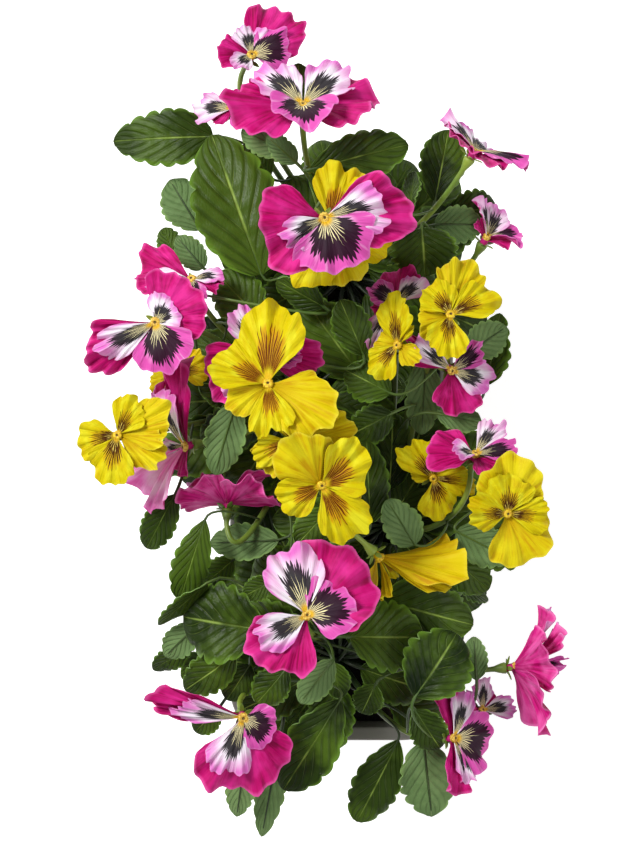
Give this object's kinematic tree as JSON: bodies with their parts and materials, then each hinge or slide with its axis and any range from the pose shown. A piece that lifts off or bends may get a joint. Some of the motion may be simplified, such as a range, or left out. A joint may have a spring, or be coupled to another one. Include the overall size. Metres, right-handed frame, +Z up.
{
  "type": "potted pansy planter",
  "caption": "Long tapered window trough filled with artificial pansies: ruffled magenta and lemon-yellow blooms with dark whiskered faces above scalloped dark green leaves.",
  "frame": {"origin": "on the floor, under the middle of the trough's flat foot", "axes": "+Z up; +Y along the trough's length, which is up in the picture; +X to the right in the picture"},
  "size_m": [0.2968, 0.5118, 0.3029],
  "materials": {
    "trough": "anthracite moulded plastic, satin",
    "planting_mix": "dark loose planting mix",
    "greenery": "satin coated fabric leaves on plastic stems",
    "magenta_petals": "printed fine polyester fabric, creased",
    "yellow_petals": "printed fine polyester fabric, creased"
  },
  "bodies": {
    "root": {"trough": "trough", "planting_mix": "planting_mix", "bush_far": "greenery", "bush_left": "greenery", "bush_right": "greenery", "bush_near": "greenery", "bloom_m01": "magenta_petals", "bloom_m02": "magenta_petals", "bloom_m03": "magenta_petals", "bloom_m04": "magenta_petals", "bloom_m05": "magenta_petals", "bloom_m06": "magenta_petals", "bloom_m07": "magenta_petals", "bloom_m08": "magenta_petals", "bloom_m09": "magenta_petals", "bloom_m10": "magenta_petals", "bloom_m11": "magenta_petals", "bloom_m12": "magenta_petals", "bloom_m13": "magenta_petals", "bloom_m14": "magenta_petals", "bloom_m15": "magenta_petals", "bloom_m16": "magenta_petals", "bloom_m17": "magenta_petals", "bloom_m18": "magenta_petals", "bloom_m19": "magenta_petals", "bloom_y01": "yellow_petals", "bloom_y02": "yellow_petals", "bloom_y03": "yellow_petals", "bloom_y04": "yellow_petals", "bloom_y05": "yellow_petals", "bloom_y06": "yellow_petals", "bloom_y07": "yellow_petals", "bloom_y08": "yellow_petals", "bloom_y09": "yellow_petals", "bloom_y10": "yellow_petals", "bloom_y11": "yellow_petals"}
  },
  "joints": []
}
